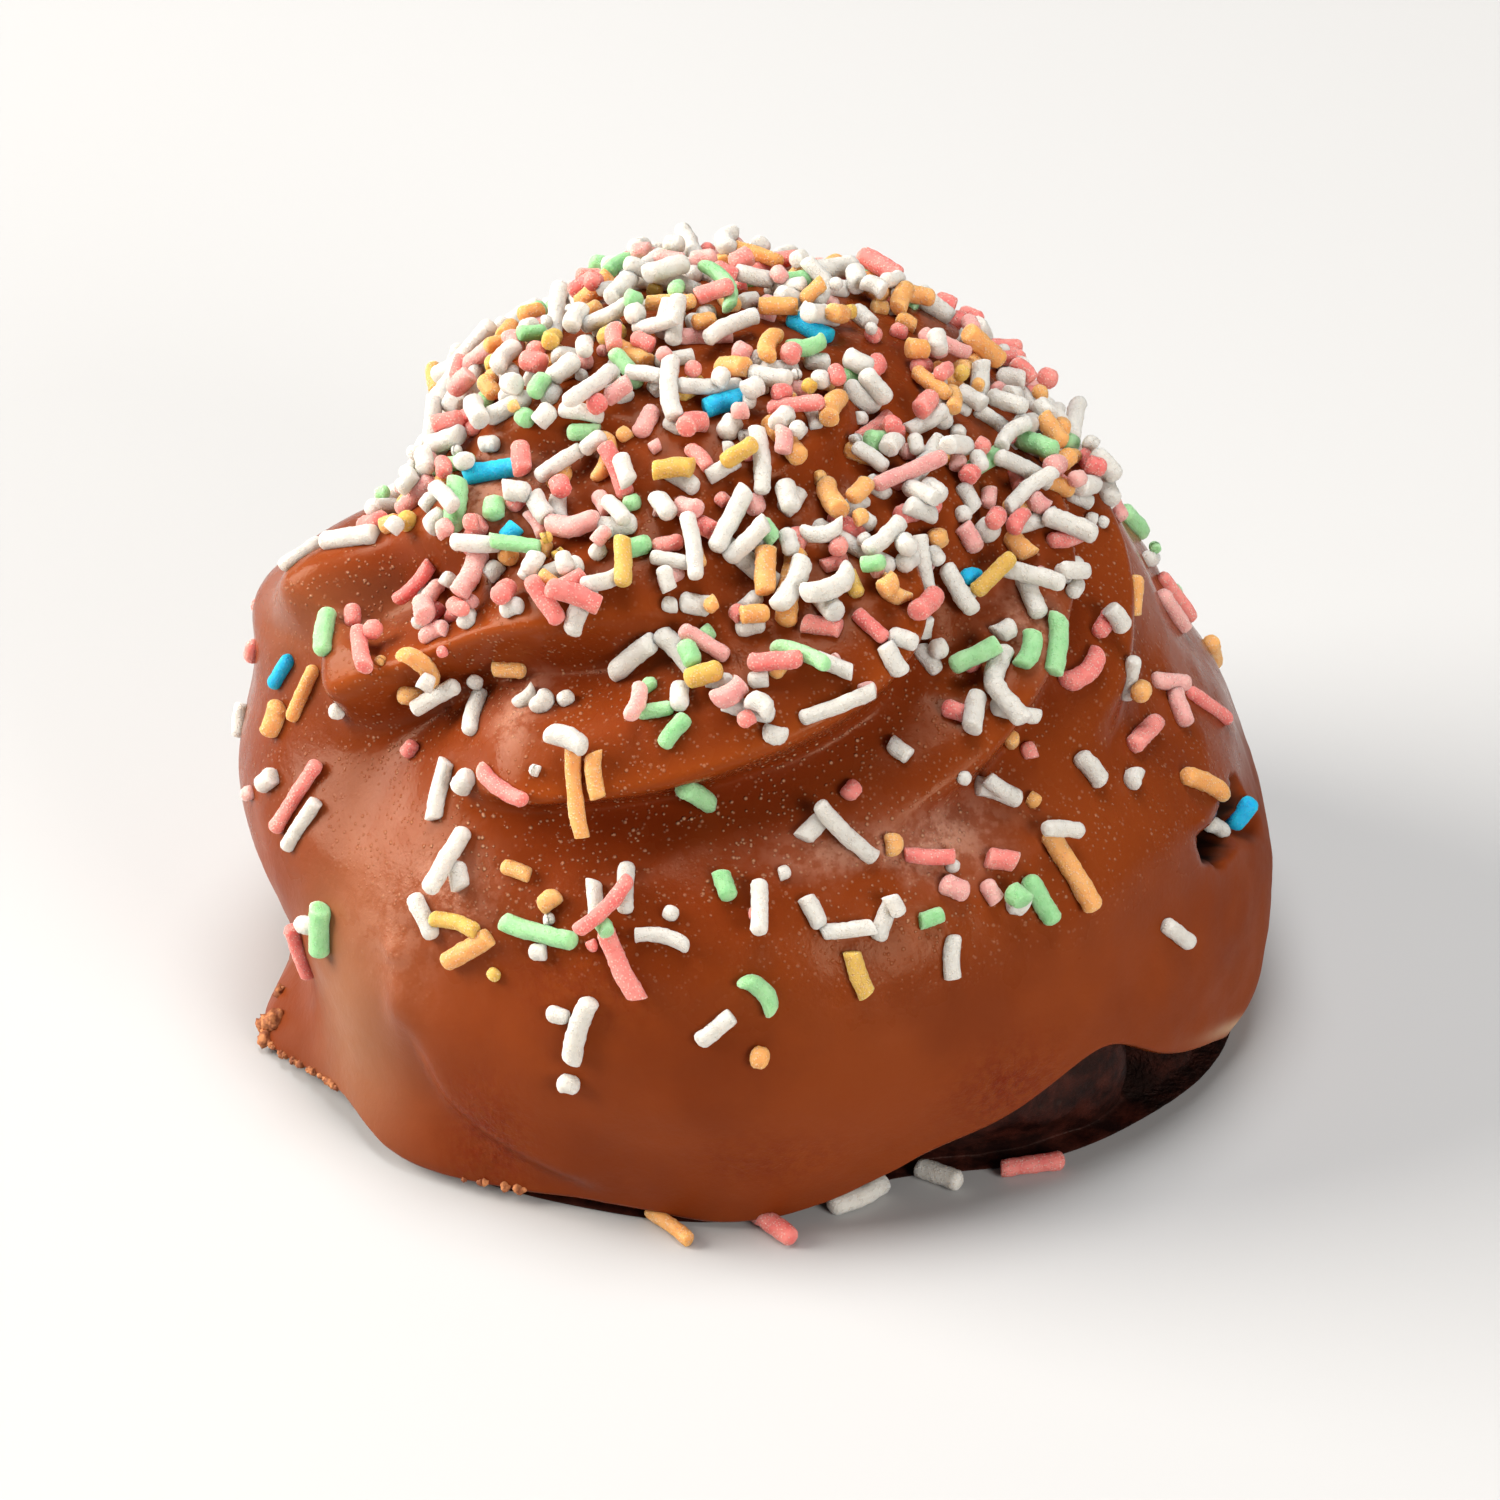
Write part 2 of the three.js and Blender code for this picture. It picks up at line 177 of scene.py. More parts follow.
# Where a painted sheen of the light makes the chocolate lighter, partly as paler chocolate too, where
# painted shade makes it darker, and where it is redder and a little rough, given in the same way.
MILKY_SHEEN = [(219, 6, 9, 6, 1.2), (192, 20, 10, 2.5, 0.4), (204, 22, 8, 1.4, 0.4)]
PAINTED_SHADE = [(320, 31, 60, 4, 0.12), (250, 28, 40, 3, 0.1), (202, 24.3, 8, 1.0, 0.45), (265, 17, 32, 3, 0.3)]
MOTTLED = [
    (298, 6.3, 6, 2.0, 1), (240, 3, 5, 3, 0.9), (272, 4, 8, 1.5, 0.5), (250, 12, 8, 2, 0.4),
    (100, 6, 12, 3, 0.7),
]
# Small beads lie on the chocolate from this height up, all of them BEADS_FADE higher, and more of
# them in a groove; each is raised by bump, and its pale spot is a painted glint of the light on it.
BEADS_FROM, BEADS_FADE = 11, 3
BEADS_SHARE, BEADS_IN_GROOVE = 0.2, 0.5
BEADS_IN_BLOOM = 0.8
# Where more of them lie, given as the matt places are.
BEADED = [
    (262, 18, 30, 2.4, 0.6), (300, 15, 16, 2, 0.4), (235, 15, 8, 2, 0.5), (225, 28, 20, 1.6, 0.5),
    (330, 24, 20, 3, 0.3),
]
# Pale, thin chocolate along the edge: angle, half angle, height above the edge and half height.
CREAM = (338, 8, 0.25, 0.4)
# Below this height the chocolate grows less glossy, wholly so SATIN_FADE further down, and most of
# all on one side: angle, half angle and how much more.
SATIN_HEIGHT, SATIN_FADE = 13, 5
SATIN_SIDE = (350, 32, 1.8)

# ---------------------------------------------------------------- strands and crumbs

STRAND_RADIUS = 0.41
STRAND_SIDES = 14
STRAND_RING = 0.2  # step between the rings of its mesh
STRAND_MARGIN = 0.25  # length that its broken ends take up
SUNK = 0.18  # how deep a strand sits in the chocolate
PRESSED = 0.05  # how far two strands may press into each other
BALL_STEP = 0.5  # step between the balls that stand for a strand while it is laid
RAY_REACH = 6  # how far above and below a place the chocolate is looked for
BALLS_BELOW = 4  # how far below a place other strands are looked for
CLEAR = 0.02  # how far a strand may miss the height that it needs
LEAST_SPAN = 0.01  # how far apart its two supports are at least
STRAND_TRIES = 12500
# A strand's thickness, as a share of the usual one: thinnest and thickest.
STRAND_THICKNESS = (0.8, 1.14)
SHORT_RADIUS = 0.55  # largest radius of a short strand, as a share of its length
# Some strands are clearly bent, by up to BENT_MOST, and the others only a little.
BENT_SHARE, BENT_MOST, BENT_USUAL = 0.15, 0.45, 0.08
# Ends broken flat or rounded: distance in from the tip, in thicknesses, and share of the radius.
FLAT_END = [(0, 0), (0.02, 0.8), (0.07, 0.97)]
ROUND_END = [(0, 0), (0.04, 0.5), (0.14, 0.82), (0.3, 0.97)]
FLAT_SHARE, FLAT_SLANT = 0.4, 0.4
# Unevenness of a strand and of a crumb: a large and a small one, as shares of the radius.
STRAND_LUMPS, CRUMB_LUMPS = (0.12, 0.1), (0.5, 0.2)
# Lengths of the scattered strands: the share of them up to this row, shortest and longest.
STRAND_LENGTHS = [(0.22, 0.45, 0.9), (0.5, 0.9, 1.4), (0.92, 1.4, 2.6), (1, 2.6, 3.6)]
# How high a strand may lie on others, and its steepest slope, as rise over run.
PILE_LIMIT, STEEPEST = 0.85, 0.6
# The same for the strands that stand out, and the share of their bend that is kept.
KEY_PILE_LIMIT, KEY_STEEPEST, KEY_BEND = 2.5, 1.5, 0.3
LEAN_UP = 0.6  # how much more upright than the chocolate's normal the scattered strands are laid

# Share among the scattered ones, then the colour and its second tone from 0 to 255, and how grainy
# the sugar is.
SUGARS = {
    "white": (0.48, (211, 208, 200), (194, 190, 183), 0.35),
    "pink": (0.18, (228, 142, 132), (214, 102, 98), 1.0),
    "orange": (0.135, (222, 166, 104), (218, 148, 78), 0.9),
    "green": (0.08, (160, 206, 154), (130, 188, 130), 0.15),
    "mauve": (0.095, (226, 170, 162), (206, 138, 134), 1.0),
    "yellow": (0.025, (204, 168, 88), (198, 156, 66), 0.7),
    "blue": (0.005, (26, 186, 218), (6, 152, 204), 0.1),
}

# Strands that stand out: colour, angle, height, heading (0 level, 90 uphill) and length.
KEY_STRANDS = [
    ("green", 200, 27, 35, 4), ("blue", 215, 28, 45, 3),  # end to end above the left lip
    ("blue", 355, 31.5, 60, 2.2), ("blue", 278, 31, 10, 2), ("orange", 290, 30, -80, 3),  # on the crown
    ("orange", 10, 28.5, -35, 3.5), ("green", 335, 27.5, -10, 3), ("white", 295, 27, -50, 4),
    ("orange", 250, 19, -75, 4), ("blue", 195, 17, 70, 2), ("orange", 200, 17, 80, 3),  # over the lips
    ("white", 228, 17, -80, 2.6), ("pink", 205, 13.5, 80, 4), ("pink", 240, 18.5, -10, 3),
    ("pink", 208, 7, 90, 3), ("green", 215, 9.5, -85, 2.4),  # at the left foot
    ("yellow", 282, 12.5, -75, 2), ("orange", 310, 14, -80, 4),  # on the ledge
    ("green", 305, 13.5, -75, 2.4), ("white", 324, 9.5, -50, 2.2), ("white", 250, 7.5, 0, 1),
    ("orange", 338, 13.5, -45, 3), ("blue", 347, 10.6, 60, 1.5),  # at the tear
    ("pink", 352, 14.5, -60, 3.4),
]
# The strand inside the hole, given in the same way, and its depth below the smooth surface.
SUNK_STRAND = ("white", 342.5, 10.9, -42, 2, 0.7)

# On the top, strands start at this height and lie thickest TOP_FADE above it, where the chocolate
# faces up: by more than LEVEL_FROM, and thickest LEVEL_FADE above that.
TOP_FROM, TOP_FADE = 19.5, 8
LEVEL_FROM, LEVEL_FADE = 0.05, 0.5
# Places below the top where strands lie apart: angle, height, half angle, half height, how densely.
LOOSE = [
    (246, 14.2, 20, 1.9, 0.4), (286, 14.9, 9, 1.6, 0.3),  # on the front ledge
    (300, 15.8, 7, 1.8, 0.2), (307, 14.4, 7, 1.6, 0.2),
    (236, 11, 5, 1.8, 0.12), (250, 10.6, 6, 1.6, 0.18), (268, 11.4, 4, 1.6, 0.35),  # below it
    (207, 22.3, 4, 0.9, 0.6), (218, 20.8, 6, 1.1, 0.45), (216, 23, 4.5, 1.2, 0.6),  # behind the second lip
    (245, 20.5, 18, 1.2, 0.14), (306, 22, 8, 1.5, 0.35),  # round the third
    (290, 18, 30, 2.4, 0.05),  # a few on the front
    (206, 14, 9, 6.0, 0.1),  # left cheek
    (338, 17, 24, 4.6, 0.11),  # right flank
    (60, 15, 40, 2.8, 0.13),  # ledge round the back
    (125, 15, 40, 2.8, 0.13),
    (90, 9, 80, 3.0, 0.025),  # a few below that
    (343, 11.5, 8, 2.2, -0.6),  # none over the tear
]
# Places near the top with few strands: angle, height, half angle, half height, how much is missing.
BARE = [
    (204, 23.3, 9, 1.6, 0.95), (196, 22, 11, 2.2, 0.97),  # the nose and the hollow under it
    (216, 29, 12, 1.2, 0.5), (335, 21, 30, 3, 0.4),
    (255, 22.0, 25, 1.2, 0.3), (172, 22.5, 16, 2.4, 0.85),
    (30, 30, 45, 3.4, 0.7), (350, 31, 20, 1.2, 0.6),  # right and back of the crown
]

# Strands caught under the foot, one every few degrees: their lengths, and how far out of the cake.
FOOT_COLOURS = ["orange", "pink", "white", "white", "pink"]
FOOT_START, FOOT_STEP = 261, 11
FOOT_LENGTHS = (1.9, 3.7)
FOOT_OUT = (0.6, 1.6)

CRUMB_RINGS, CRUMB_SIDES = 11, 14
# Brown crumbs at the foot: middle angle and height, half angle, half height, largest, and how many.
CRUMB_HEAPS = [
    (199, 1, 1.4, 0.5, 0.5, 8), (196, 2, 0.5, 0.3, 0.3, 2), (207, 0.3, 9, 0.25, 0.17, 60),
    (241, 0.7, 4, 0.5, 0.25, 10), (75, 0.4, 8, 0.4, 0.2, 16), (133, 0.4, 10, 0.4, 0.25, 16),
]

# ---------------------------------------------------------------- camera and lights

CAMERA_ELEVATION = 31
CAMERA_DISTANCE = 330
CAMERA_TARGET = (0, 0, 11)
CAMERA_LENS = 178.2
FLOOR_SIDE = 6  # metres
FLOOR_GREY = 0.5
WORLD_STRENGTH = 0.08
# The lights: name, place and size in metres, watts and colour. All of them aim at LIGHT_TARGET.
LIGHT_TARGET = (0, 0, 0.015)
LIGHTS = [
    ("key", (-0.5, 0.05, 0.27), 0.42, 6.4, (1, 0.95, 0.88)),
    ("top", (-0.02, 0.05, 0.6), 0.36, 3.2, (1, 1, 1)),
    ("front_fill", (0.34, -0.5, 0.22), 0.3, 3.0, (1, 0.97, 0.93)),
]

# ---------------------------------------------------------------- fineness of the meshes

SWIRL_SEGMENTS = 400
SWIRL_RINGS = 220
CAKE_SEGMENTS = 560
CAKE_RINGS = 90
CREST_SAMPLES = 80
# Steps of the wall inside the chocolate, from the cake's top to the edge, and round the rim.
SOCKET_STEPS = (0.25, 0.5, 0.75)
RIM_STEPS = (0.15, 0.38, 0.62, 0.85)

# ---------------------------------------------------------------- curves and surfaces

def bell(x):
    return np.exp(-x * x)


def smooth(x):
    """From 0 at 0 to 1 at 1, and level beyond."""
    x = np.clip(x, 0, 1)
    return x * x * (3 - 2 * x)


def turn(angle):
    """The same direction, between -180 and 180."""
    return (angle + 180) % 360 - 180


def mix(a, b, share):
    return a + (b - a) * share


def uniform_spline(rows, share, past=None):
    """A uniform Catmull-Rom curve through rows, at shares from 0 to 1; past follows the last row."""
    rows = np.asarray(rows, float)
    at = np.clip(share, 0, 1) * (len(rows) - 1)
    low = np.minimum(at.astype(int), len(rows) - 2)
    f = (at - low)[..., None]
    last = 2 * rows[-1] - rows[-2] if past is None else past
    every = np.vstack([2 * rows[0] - rows[1], rows, last])
    a, b, c, d = (every[low + k] for k in range(4))
    square, cube = 2 * a - 5 * b + 4 * c - d, 3 * b - a - 3 * c + d
    return 0.5 * (2 * b + (c - a) * f + square * f**2 + cube * f**3)


def waves(rows, angle):
    return sum(out * np.sin(np.radians(count * angle) + start) for count, out, start in rows)


def bulge(lobes, angle):
    return sum(out * bell(turn(angle - at) / half) for at, half, out in lobes)


def smooth_point(angle, share):
    """Point of the smooth swirl at an angle, at a share of the way from the foot to the top."""
    row = uniform_spline(RINGS, share, OVER_CROWN)
    a = np.radians(angle)
    x = row[..., 2] + row[..., 1] * np.cos(a)
    y = row[..., 3] + row[..., 1] * np.sin(a)
    return np.stack([x, y, row[..., 0]], -1)


def smooth_normal(angle, share):
    at = np.clip(share, 0.001, 0.9985)
    around = smooth_point(angle + 0.1, at) - smooth_point(angle - 0.1, at)
    up = smooth_point(angle, at + 0.001) - smooth_point(angle, at - 0.001)
    n = np.cross(around, up)
    return n / np.linalg.norm(n, axis=-1, keepdims=True)


SHARES = np.linspace(0, 1, 4001)
HEIGHTS = uniform_spline(RINGS, SHARES, OVER_CROWN)[:, 0]


def share_at(height):
    return np.interp(height, HEIGHTS, SHARES)


class Crest:
    """A fold's crest laid on the smooth swirl, and what the fold does to points near it."""

    def __init__(self, path, shape):
        self.shape = shape
        rows = uniform_spline(path, np.linspace(0, 1, CREST_SAMPLES))
        share = share_at(rows[:, 1])
        self.points = smooth_point(rows[:, 0], share)
        along = np.gradient(self.points, axis=0)
        along /= np.linalg.norm(along, axis=1, keepdims=True)
        self.upward = np.cross(smooth_normal(rows[:, 0], share), along)
        steps = np.linalg.norm(np.diff(self.points, axis=0), axis=1)
        self.run = np.concatenate([[0], np.cumsum(steps)])

    def nearest(self, v):
        """Distance to the crest, run along it, which sample, and 0 below it to 1 above."""
        square = ((v[:, None, :] - self.points[None]) ** 2).sum(-1)
        k = square.argmin(1)
        place, run, best = self.points[k].copy(), self.run[k].copy(), square.min(1)
        for step in (-1, 1):
            j = np.clip(k + step, 0, CREST_SAMPLES - 1)
            piece = self.points[j] - self.points[k]
            size = np.maximum((piece**2).sum(1), 1e-12)
            u = np.clip(((v - self.points[k]) * piece).sum(1) / size, 0, 1)
            at = self.points[k] + u[:, None] * piece
            d = ((v - at) ** 2).sum(1)
            closer = d < best
            best[closer] = d[closer]
            place[closer] = at[closer]
            run[closer] = mix(self.run[k], self.run[j], u)[closer]
        distance = np.sqrt(best)
        away = (v - place) / np.maximum(distance, 1e-6)[:, None]
        above = smooth(0.5 + 0.5 * (away * self.upward[k]).sum(1))
        return distance, run, k, above

    def effect(self, points):
        """Lift along the normal, push across the crest, and how near the crest and groove are; the crest's
        share is painted as a glow of light through the thin lip, the groove's as shade.
        """
        s = self.shape
        v = points.reshape(-1, 3)
        reach = 2.5 * s["back"] + s["face"] + 2 * s["recover"]
        lo, hi = self.points.min(0) - reach, self.points.max(0) + reach
        hit = np.where(((v > lo) & (v < hi)).all(1))[0]
        d, run, k, above = self.nearest(v[hit])
        ending = smooth((self.run[-1] - run) / s["fade_out"])
        fade = ending * smooth(run / s["fade_in"])
        deepen = ending * smooth(run / (s["fade_in"] + GROOVE_DELAY))
        down = smooth(d / s["face"])
        back = s["out"] * bell(d / s["back"]) * fade
        past_face = bell((d - s["face"]) / s["recover"])
        hollow = s["groove"] * np.where(d < s["face"], down, past_face) * deepen
        face = s["out"] * (1 - down) * fade - hollow
        hang = mix(bell(d / (0.55 * s["face"])), bell(d / (0.5 * s["back"])), above)
        push = -self.upward[k] * (s["lean"] * s["out"] * hang * fade)[:, None]
        # The crest's share is a painted glow: the light seen through the thin lip.
        strength = min(1, CREST_GLOW_STRENGTH * s["lean"] * s["out"])
        crest_glow = bell(d / mix(*CREST_GLOW_REACH, above)) * fade * strength
        # The groove's share is where the material paints shade, and sets more beads.
        near_groove = bell((d - 0.8 * s["face"]) / (0.9 * s["face"]))
        in_groove = (1 - above) * near_groove * fade * min(1, s["groove"])
        shift = np.zeros((len(v), 3))
        shift[hit] = push
        lift, crest, groove = np.zeros((3, len(v)))
        lift[hit] = mix(face, back, above)
        crest[hit] = crest_glow
        groove[hit] = in_groove
        shape = points.shape[:-1]
        return lift.reshape(shape), shift.reshape(points.shape), crest.reshape(shape), groove.reshape(shape)


def back_fold(k):
    """One of the like folds round the back."""
    out, raised = BACK_LARGE if k % 2 else BACK_SMALL
    start = BACK_START + k * BACK_STEP
    path = [(start + angle, height + raised) for angle, height in BACK_CLIMB]
    return path, dict(out=out, back=2.7, face=2.0, groove=1.0, recover=2.4, lean=0.4, fade_in=4, fade_out=8)


CRESTS = [Crest(*fold) for fold in [*FOLDS, TEAR, *map(back_fold, range(BACK_COUNT))]]


def relief(points, size, amount, seed):
    """Soft unevenness with hollows and bumps of about `size`."""
    offset = Vector((seed * 7.1, seed * 3.3, seed * 1.7))
    flat = points.reshape(-1, 3)
    values = [noise.noise(Vector(p) / size + offset) for p in flat]
    return amount * np.array(values).reshape(points.shape[:-1])


def swirl_surface(angle, share):
    """Points of the swirl's outside, and where it is a crest, a groove or a hole."""
    smoothed = smooth_point(angle, share)
    height = smoothed[..., 2]
    lift = np.zeros(angle.shape)
    shift = np.zeros(smoothed.shape)
    crest, groove = np.zeros(angle.shape), np.zeros(angle.shape)
    for at, place, half_angle, half_height, out in LOBES:
        lift += out * bell(turn(angle - at) / half_angle) * bell((height - place) / half_height)
    for fold in CRESTS:
        up, push, crest_glow, in_groove = fold.effect(smoothed)
        lift += up
        shift += push
        crest = np.maximum(crest, crest_glow)
        groove = np.maximum(groove, in_groove)
    at, place, half_angle, half_height, depth = HOLE
    away = (turn(angle - at) / half_angle) ** 2 + ((height - place) / half_height) ** 2
    hole = np.exp(-(away * (1 + relief(smoothed, *HOLE_RAGGED))) ** 3)
    lift -= depth * hole
    lift += sum(relief(smoothed, *row) for row in SWIRL_BUMPS)
    points = smoothed + shift + smooth_normal(angle, share) * lift[..., None]
    return points, crest, groove, hole


def edge_height(angle):
    """Height of the chocolate's lower edge."""
    return EDGE_HEIGHT + bulge(EDGE_LIFTS, angle) + waves(EDGE_WAVES, angle)


def cake_radius(angle, height):
    tuck = bulge([CAKE_TUCK], angle) * (1 - smooth(height / CAKE_TUCK_HEIGHT))
    return CAKE_RADIUS + bulge(CAKE_LOBES, angle) - tuck + waves(CAKE_WAVES, angle)


def cake_at(angle, radius, height):
    """Point round the cake's axis."""
    a = np.radians(angle)
    return np.stack([radius * np.cos(a), CAKE_CENTRE_Y + radius * np.sin(a), height + 0 * radius], -1)


def socket_point(angle, height):
    """Point of the hollow in the chocolate that the cake stands in."""
    heights, shares = np.array(CAKE_SECTION[1:-1]).T
    share = np.interp(height, heights, shares)
    return cake_at(angle, share * cake_radius(angle, height) + GAP, height)


# ---------------------------------------------------------------- meshes

def closed_skin(rings):
    """Vertices and faces of a closed skin from rings whose first and last are single points."""
    count, segments = len(rings), rings[1].shape[0]
    vertices = np.vstack([rings[0][:1], *rings[1:-1], rings[-1][:1]])
    top = len(vertices) - 1
    def at(ring, k):
        return 1 + (ring - 1) * segments + k % segments
    faces = [(0, at(1, k + 1), at(1, k)) for k in range(segments)]
    for ring in range(1, count - 2):
        for k in range(segments):
            faces.append((at(ring, k), at(ring, k + 1), at(ring + 1, k + 1), at(ring + 1, k)))
    faces += [(at(count - 2, k), at(count - 2, k + 1), top) for k in range(segments)]
    return vertices, faces


def mesh_object(name, vertices, faces, material):
    mesh = bpy.data.meshes.new(name)
    mesh.from_pydata((np.asarray(vertices) * MM).tolist(), [], faces)
    mesh.polygons.foreach_set("use_smooth", [True] * len(mesh.polygons))
    mesh.materials.append(material)
    mesh.update()
    obj = bpy.data.objects.new(name, mesh)
    bpy.context.scene.collection.objects.link(obj)
    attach(obj, "root")
    return obj


def paint(obj, name, values):
    """A value at each vertex that the material reads."""
    layer = obj.data.attributes.new(name, "FLOAT", "POINT")
    layer.data.foreach_set("value", np.asarray(values, np.float32))


# ---------------------------------------------------------------- materials

def srgb(r, g, b):
    """A linear colour from 0 to 255 display values."""
    def linear(c):
        c /= 255
        return c / 12.92 if c <= 0.04045 else ((c + 0.055) / 1.055) ** 2.4
    return (linear(r), linear(g), linear(b), 1)


class Shader:
    """A Principled material with short calls for its nodes."""

    def __init__(self, name):
        self.material = bpy.data.materials.new(name)
        self.material.use_nodes = True
        self.nodes = self.material.node_tree.nodes
        self.links = self.material.node_tree.links
        self.shader = self.nodes["Principled BSDF"]
        self.place = self.nodes.new("ShaderNodeTexCoord").outputs["Object"]

    def set(self, **values):
        """Plain values, each under its socket's name in small letters."""
        for key, value in values.items():
            self.shader.inputs[key.replace("_", " ").title().replace("Ior", "IOR")].default_value = value

    def feed(self, socket, output):
        self.links.new(output, self.shader.inputs[socket])

    def put(self, socket, value):
        """Links another node's output to the socket, or sets a plain value on it."""
        if isinstance(value, bpy.types.NodeSocket):
            self.links.new(value, socket)
        else:
            socket.default_value = value

    def node(self, kind, inputs=None, **settings):
        made = self.nodes.new(kind)
        for key, value in settings.items():
            setattr(made, key, value)
        for key, value in (inputs or {}).items():
            self.put(made.inputs[key], value)
        return made

    def noise(self, per_mm, detail=3, roughness=0.5):
        """Cloudy unevenness from 0 to 1."""
        made = self.node("ShaderNodeTexNoise", {
            "Vector": self.place, "Scale": per_mm / MM, "Detail": detail, "Roughness": roughness})
        return made.outputs["Fac"]

    def cells(self, per_mm):
        """Distance to the nearest of many scattered points."""
        made = self.node("ShaderNodeTexVoronoi", {"Vector": self.place, "Scale": per_mm / MM})
        return made.outputs["Distance"]

    def ramp(self, value, low, high, from_low=0.0, from_high=1.0):
        """Maps from_low..from_high smoothly to low..high."""
        made = self.node("ShaderNodeMapRange", {
            "Value": value, "From Min": from_low, "From Max": from_high, "To Min": low, "To Max": high})
        made.interpolation_type = "SMOOTHSTEP"
        return made.outputs["Result"]

    def times(self, a, b):
        return self.math("MULTIPLY", a, b)

    def math(self, operation, a, b):
        made = self.node("ShaderNodeMath", {0: a, 1: b}, operation=operation)
        return made.outputs["Value"]

    def blend(self, share, a, b):
        """Colour a where the share is 0, and b where it is 1."""
        made = self.node("ShaderNodeMix", {0: share, 6: a, 7: b}, data_type="RGBA")
        return made.outputs[2]

    def attribute(self, name):
        return self.node("ShaderNodeAttribute", attribute_name=name).outputs["Fac"]

    def bump(self, height_mm):
        """Relief of the given height field, in millimetres."""
        made = self.node("ShaderNodeBump", {"Height": height_mm, "Strength": 1.0, "Distance": MM})
        self.feed("Normal", made.outputs["Normal"])


def chocolate_beads(m):
    """How much of a bead lies at a place; its paleness is a painted glint of the light."""
    large = m.ramp(m.cells(2.2), 1, 0, 0.08, 0.24)
    small = m.ramp(m.cells(3.6), 1, 0, 0.1, 0.28)
    beads = m.times(m.math("MAXIMUM", large, m.times(small, 0.8)), m.attribute("beads"))
    return m.times(beads, m.ramp(m.noise(0.5, 2), 0.1, 1, 0.35, 0.6))


def milk_chocolate():
    m = Shader("milk_chocolate")
    bloom_and_sheen, mottled, hole = m.attribute("bloom_and_sheen"), m.attribute("mottled"), m.attribute("hole")
    beads = chocolate_beads(m)
    # Frost: rougher matt bloom, made paler as a painted sheen of the lights.
    frost_and_sheen = m.times(bloom_and_sheen, m.ramp(m.noise(1.2, 3, 0.6), 0.3, 1, 0.4, 0.6))
    red = m.times(mottled, m.ramp(m.noise(2.2, 4, 0.6), 0, 1, 0.4, 0.6))
    # Darker dots in the frost: painted shade in its tiny pits.
    pits = m.times(m.ramp(m.cells(4.4), 1, 0, 0.12, 0.3), frost_and_sheen)
    cloud = m.ramp(m.noise(0.12, 4), 0, 1, 0.35, 0.65)
    colour = m.blend(cloud, srgb(112, 46, 16), srgb(126, 55, 20))
    layers = [
        # Painted shade in the grooves under the lips.
        (m.attribute("groove"), 0.4, srgb(104, 27, 2)),
        # Painted glow of the light through the thin crests.
        (m.attribute("crest"), 0.35, srgb(170, 80, 26)),
        # Painted sheen of the light, partly paler chocolate.
        (m.attribute("milky_sheen"), 0.35, srgb(180, 134, 100)),
        # Painted shade.
        (m.attribute("painted_shade"), 0.7, srgb(102, 22, 0)),
        (red, 0.7, srgb(104, 26, 6)),
        # Painted glints on the beads.
        (beads, 0.6, srgb(240, 190, 150)),
        # Matt bloom made paler by a painted sheen, and painted shade in its pits below.
        (frost_and_sheen, 0.7, srgb(206, 156, 132)),
        (pits, 0.7, srgb(104, 46, 26)),
        (m.attribute("cream"), 1, srgb(176, 140, 112)),
        # The hole's inside is painted near black, as the shade in it.
        (hole, 1, srgb(28, 12, 8)),
    ]
    for place, share, tone in layers:
        colour = m.blend(m.times(place, share), colour, tone)
    m.feed("Base Color", colour)
    rough = m.ramp(m.noise(0.6, 3), 0.18, 0.3, 0.3, 0.7)
    rough = m.math("ADD", rough, m.times(m.math("MAXIMUM", frost_and_sheen, hole), 0.25))
    m.feed("Roughness", m.math("ADD", rough, m.times(m.attribute("satin"), 0.16)))
    m.set(subsurface_weight=0.15, subsurface_radius=(1.0, 0.32, 0.12), subsurface_scale=1.2 * MM)
    m.set(specular_ior_level=0.24, specular_tint=(1.0, 0.68, 0.46, 1.0), ior=1.33)
    fine = m.times(m.noise(3.0, 3, 0.6), 0.02)
    skin = m.math("ADD", fine, m.times(beads, 0.13))
    uneven = m.times(m.math("MAXIMUM", bloom_and_sheen, mottled), m.noise(3.2, 3, 0.6))
    m.bump(m.math("ADD", skin, m.times(uneven, 0.16)))
    return m.material


def dark_cake():
    m = Shader("dark_cake")
    crumb = m.noise(0.9, 5, 0.65)
    colour = m.blend(m.ramp(crumb, 0, 1, 0.35, 0.7), srgb(25, 9, 7), srgb(60, 26, 19))
    # The crack is painted near black, as the shade inside it.
    colour = m.blend(m.times(m.attribute("crack"), 0.8), colour, srgb(8, 2, 1))
    m.feed("Base Color", colour)
    rough = m.ramp(m.noise(0.35, 3), 0.3, 0.6, 0.4, 0.6)
    m.feed("Roughness", m.math("ADD", rough, m.times(m.attribute("crumbly"), 0.15)))
    m.set(specular_ior_level=0.14, specular_tint=(1.0, 0.8, 0.7, 1.0))
    fine = m.times(m.noise(3.5, 4, 0.6), m.times(m.attribute("crumbly"), 0.4))
    m.bump(m.math("ADD", m.times(crumb, 0.2), fine))
    return m.material


